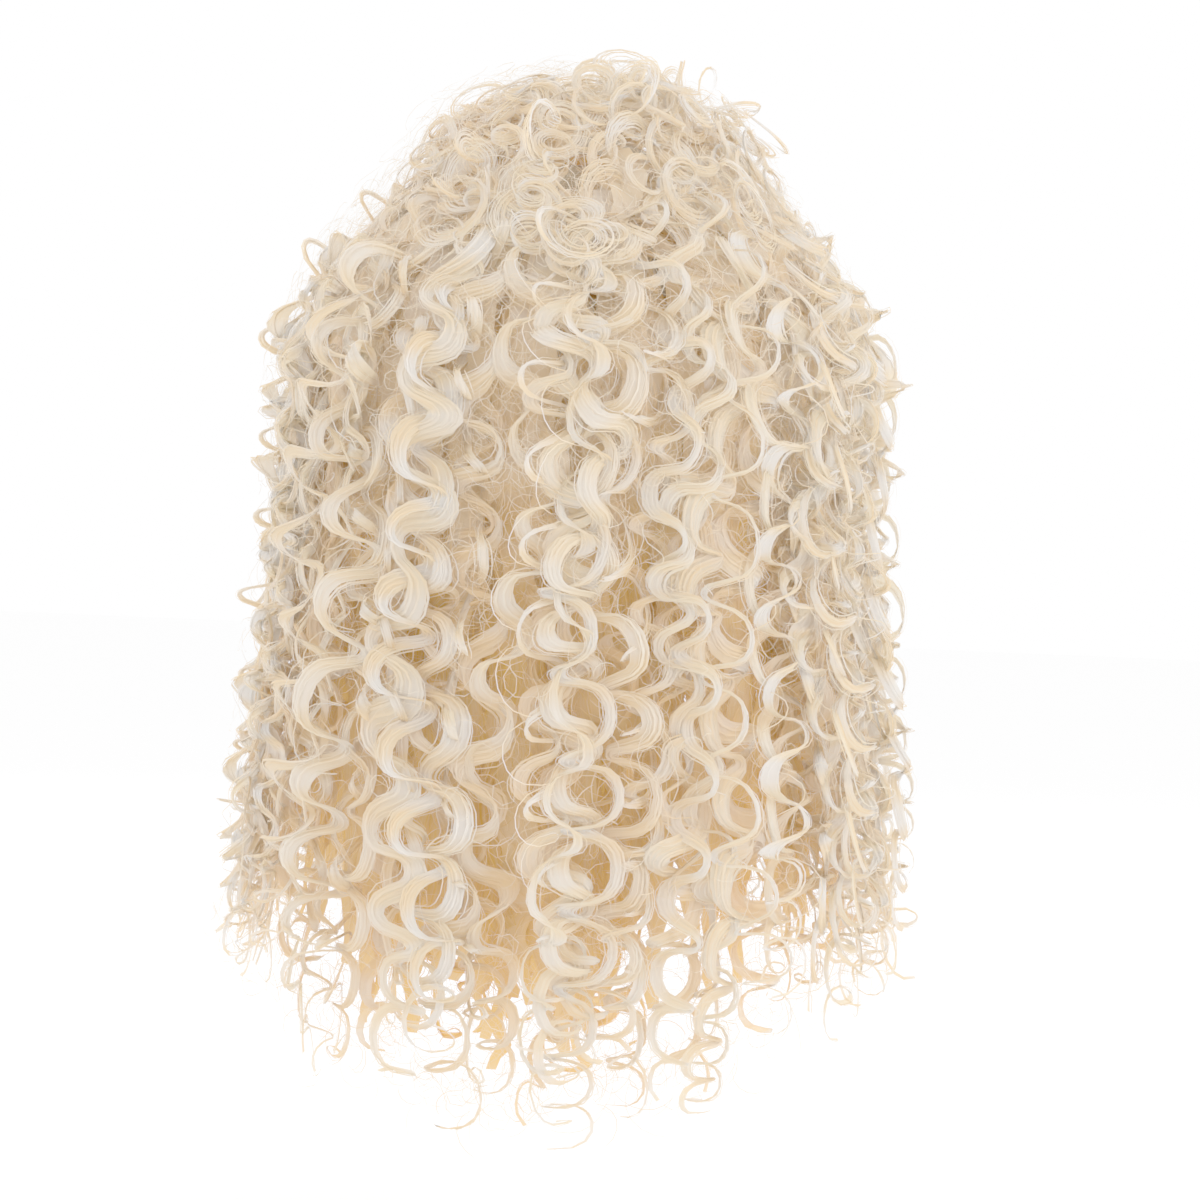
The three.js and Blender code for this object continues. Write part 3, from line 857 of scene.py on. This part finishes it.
def build_hair(name, number, material):
    """One piece of hair as a mesh: its strip, all the strands of its locks, and its loose hairs."""
    rng = np.random.default_rng([SEED, number])
    area = AREAS[name]
    hair = HairMesh()
    strip = strip_grid(area)
    tone = np.full(strip.shape[:3] + (4,), STRIP_TONE)
    length = float(np.linalg.norm(np.diff(strip[0, :, 0], axis=0), axis=1).sum())
    hair.add(rng, strip, tone, np.array([STRIP_ROUND]), np.array([length]))
    for piece, kind, count, layers, shorter in ROWS:
        if piece != name:
            continue
        style = STYLES[kind]
        for i in range(count):
            share = (i + rng.uniform(*JITTER)) / count
            lock = lock_line(rng, area, style, layers, shorter, share)
            for strands, strand in BUNDLES[style["bundle"]]:
                hair.add(rng, *strand_grid(rng, lock, strands, **strand))
    for piece, count, layers in FRIZZ:
        if piece == name:
            hair.add(rng, *frizz_grid(rng, area, count, layers))
    return hair.make(name + "_strands", material)


def build_cap(material):
    """The cap: an outer and an inner skin from the crown to the rim, thicker along the hem."""
    azimuth = np.linspace(-180, 180, CAP_COLUMNS + 1)
    level = np.concatenate([np.linspace(0, 1, CAP_ROWS), np.linspace(1, 0, CAP_ROWS)])
    section = by_azimuth(CAP_RIM, azimuth)[None, :] * level[:, None]
    inside = (np.arange(len(level)) >= CAP_ROWS)[:, None]
    hem = HEM_THICKNESS * smoothstep(level, HEM_STARTS, HEM_FULL)[:, None]
    offset = np.where(inside, -CAP_WALL - hem, hem)
    points = cap_point(section, np.broadcast_to(azimuth, section.shape), offset)
    index = np.arange(section.size).reshape(section.shape)
    corners = (index[:-1, 1:], index[1:, 1:], index[1:, :-1], index[:-1, :-1])
    quads = np.stack(corners, -1).reshape(-1, 4)
    real = np.broadcast_arrays(np.radians(azimuth)[None, :] * CLOTH_ROUND, section * CLOTH_DOWN)
    square = np.broadcast_arrays(
        np.linspace(0, 1, len(azimuth))[None, :], np.linspace(0, 1, len(level))[:, None]
    )
    maps = {"Strand": np.stack(real, -1).reshape(-1, 2), "OFBake": np.stack(square, -1).reshape(-1, 2)}
    return mesh_object("cap_cloth", points.reshape(-1, 3), quads, maps, np.ones((section.size, 4)), material)


def build_camera():
    """The camera at the photograph's angle and framing."""
    data = bpy.data.cameras.new("camera")
    data.sensor_width = SENSOR
    data.lens = SENSOR * CAMERA_DISTANCE / FRAME_WIDTH
    camera = bpy.data.objects.new("camera", data)
    bpy.context.scene.collection.objects.link(camera)
    turn, rise = math.radians(CAMERA_AZIMUTH), math.radians(CAMERA_ELEVATION)
    back = Vector((math.sin(turn) * math.cos(rise), -math.cos(turn) * math.cos(rise), math.sin(rise)))
    camera.location = CAMERA_TARGET + back * CAMERA_DISTANCE
    look = (-back).to_track_quat("-Z", "Y").to_matrix().to_4x4()
    roll = Matrix.Rotation(math.radians(CAMERA_ROLL), 4, "Z")
    camera.matrix_world = Matrix.Translation(camera.location) @ look @ roll
    bpy.context.scene.camera = camera


def area_light(name, position, size, energy):
    """A square soft light that looks at the middle of the wig."""
    data = bpy.data.lights.new(name, "AREA")
    data.size = size
    data.energy = energy
    light = bpy.data.objects.new(name, data)
    bpy.context.scene.collection.objects.link(light)
    light.location = position
    light.rotation_euler = (LIGHTS_TARGET - Vector(position)).to_track_quat("-Z", "Y").to_euler()


def build_floor():
    """A level square below the tips."""
    square = np.array([[0, 0], [1, 0], [1, 1], [0, 1]], float)
    points = np.column_stack([FLOOR_REACH * (2 * square - 1), np.full(4, FLOOR_LEVEL)])
    quads = np.array([[0, 1, 2, 3]])
    return mesh_object("floor", points, quads, {"Flat": square}, np.ones((4, 4)), floor_material())


def build_stage():
    """A white room: an even sky, soft lights and a pale floor."""
    scene = bpy.context.scene
    scene.world = bpy.data.worlds.new("studio")
    scene.world.use_nodes = True
    sky = scene.world.node_tree.nodes["Background"]
    sky.inputs["Color"].default_value = (1, 1, 1, 1)
    sky.inputs["Strength"].default_value = 1.0
    for light in LIGHTS:
        area_light(*light)
    build_floor()
    scene.view_settings.view_transform = "Standard"
    scene.view_settings.gamma = VIEW_GAMMA
    scene.cycles.max_bounces = LIGHT_BOUNCES
    scene.cycles.diffuse_bounces = LIGHT_BOUNCES
    scene.cycles.transmission_bounces = LIGHT_BOUNCES


hair_fibre = hair_material()
for number, name in enumerate(AREAS):
    piece = build_hair(name, number, hair_fibre)
    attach(piece, "root")
    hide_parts(name)
cap = build_cap(cap_material())
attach(cap, "root")
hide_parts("cap")
build_camera()
build_stage()
